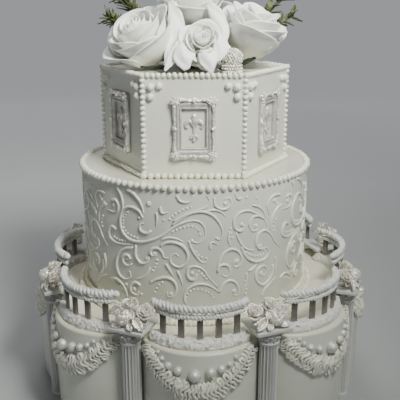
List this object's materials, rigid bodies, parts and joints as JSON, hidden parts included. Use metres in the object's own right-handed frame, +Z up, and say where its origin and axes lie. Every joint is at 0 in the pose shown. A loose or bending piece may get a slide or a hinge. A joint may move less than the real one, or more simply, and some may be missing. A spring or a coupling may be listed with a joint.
{
  "type": "tiered cake",
  "caption": "Tiered wedding cake: a petal-shaped bottom tier ringed by fluted pillars and icing balustrades, a round middle tier, a six-sided top tier with framed lilies, and a posy of roses.",
  "frame": {"origin": "middle of the bottom tier's underside, on the surface the cake stands on", "axes": "+Z up, -Y towards the front face of the picture, +X to the right of that face"},
  "size_m": [0.4056, 0.4056, 0.4658],
  "materials": {
    "ivory_icing": "smooth ivory icing, soft sheen",
    "pillar_white": "fluted white plastic with a grey cast",
    "rope_icing": "piped cool white icing",
    "champagne_pearl": "moulded icing dusted with champagne pearl lustre",
    "silver_lustre": "moulded icing dusted with silver lustre",
    "white_silk": "soft white silk petals",
    "dark_leaf": "dark green leaves"
  },
  "bodies": {
    "root": {"bottom_tier": "ivory_icing", "middle_tier": "ivory_icing", "top_tier": "ivory_icing", "pillar_1": "pillar_white", "rail_base_1": "rope_icing", "rail_1": "rope_icing", "spray_1": "champagne_pearl", "pillar_2": "pillar_white", "rail_base_2": "rope_icing", "rail_2": "rope_icing", "spray_2": "champagne_pearl", "pillar_3": "pillar_white", "rail_base_3": "rope_icing", "rail_3": "rope_icing", "spray_3": "champagne_pearl", "pillar_4": "pillar_white", "rail_base_4": "rope_icing", "rail_4": "rope_icing", "spray_4": "champagne_pearl", "pillar_5": "pillar_white", "rail_base_5": "rope_icing", "rail_5": "rope_icing", "spray_5": "champagne_pearl", "pillar_6": "pillar_white", "rail_base_6": "rope_icing", "rail_6": "rope_icing", "spray_6": "champagne_pearl", "pillar_7": "pillar_white", "rail_base_7": "rope_icing", "rail_7": "rope_icing", "spray_7": "champagne_pearl", "pillar_8": "pillar_white", "rail_base_8": "rope_icing", "rail_8": "rope_icing", "spray_8": "champagne_pearl", "frame_1": "silver_lustre", "lily_1": "silver_lustre", "frame_2": "silver_lustre", "lily_2": "silver_lustre", "frame_3": "silver_lustre", "lily_3": "silver_lustre", "frame_4": "silver_lustre", "lily_4": "silver_lustre", "frame_5": "silver_lustre", "lily_5": "silver_lustre", "frame_6": "silver_lustre", "lily_6": "silver_lustre", "rose_left": "white_silk", "rose_right": "white_silk", "rose_front": "white_silk", "rose_top": "white_silk", "rose_back_left": "white_silk", "rose_back_right": "white_silk", "rose_back": "white_silk", "posy_core": "dark_leaf", "foliage_left": "dark_leaf", "foliage_right": "dark_leaf", "jewel_bud": "silver_lustre"}
  },
  "joints": []
}
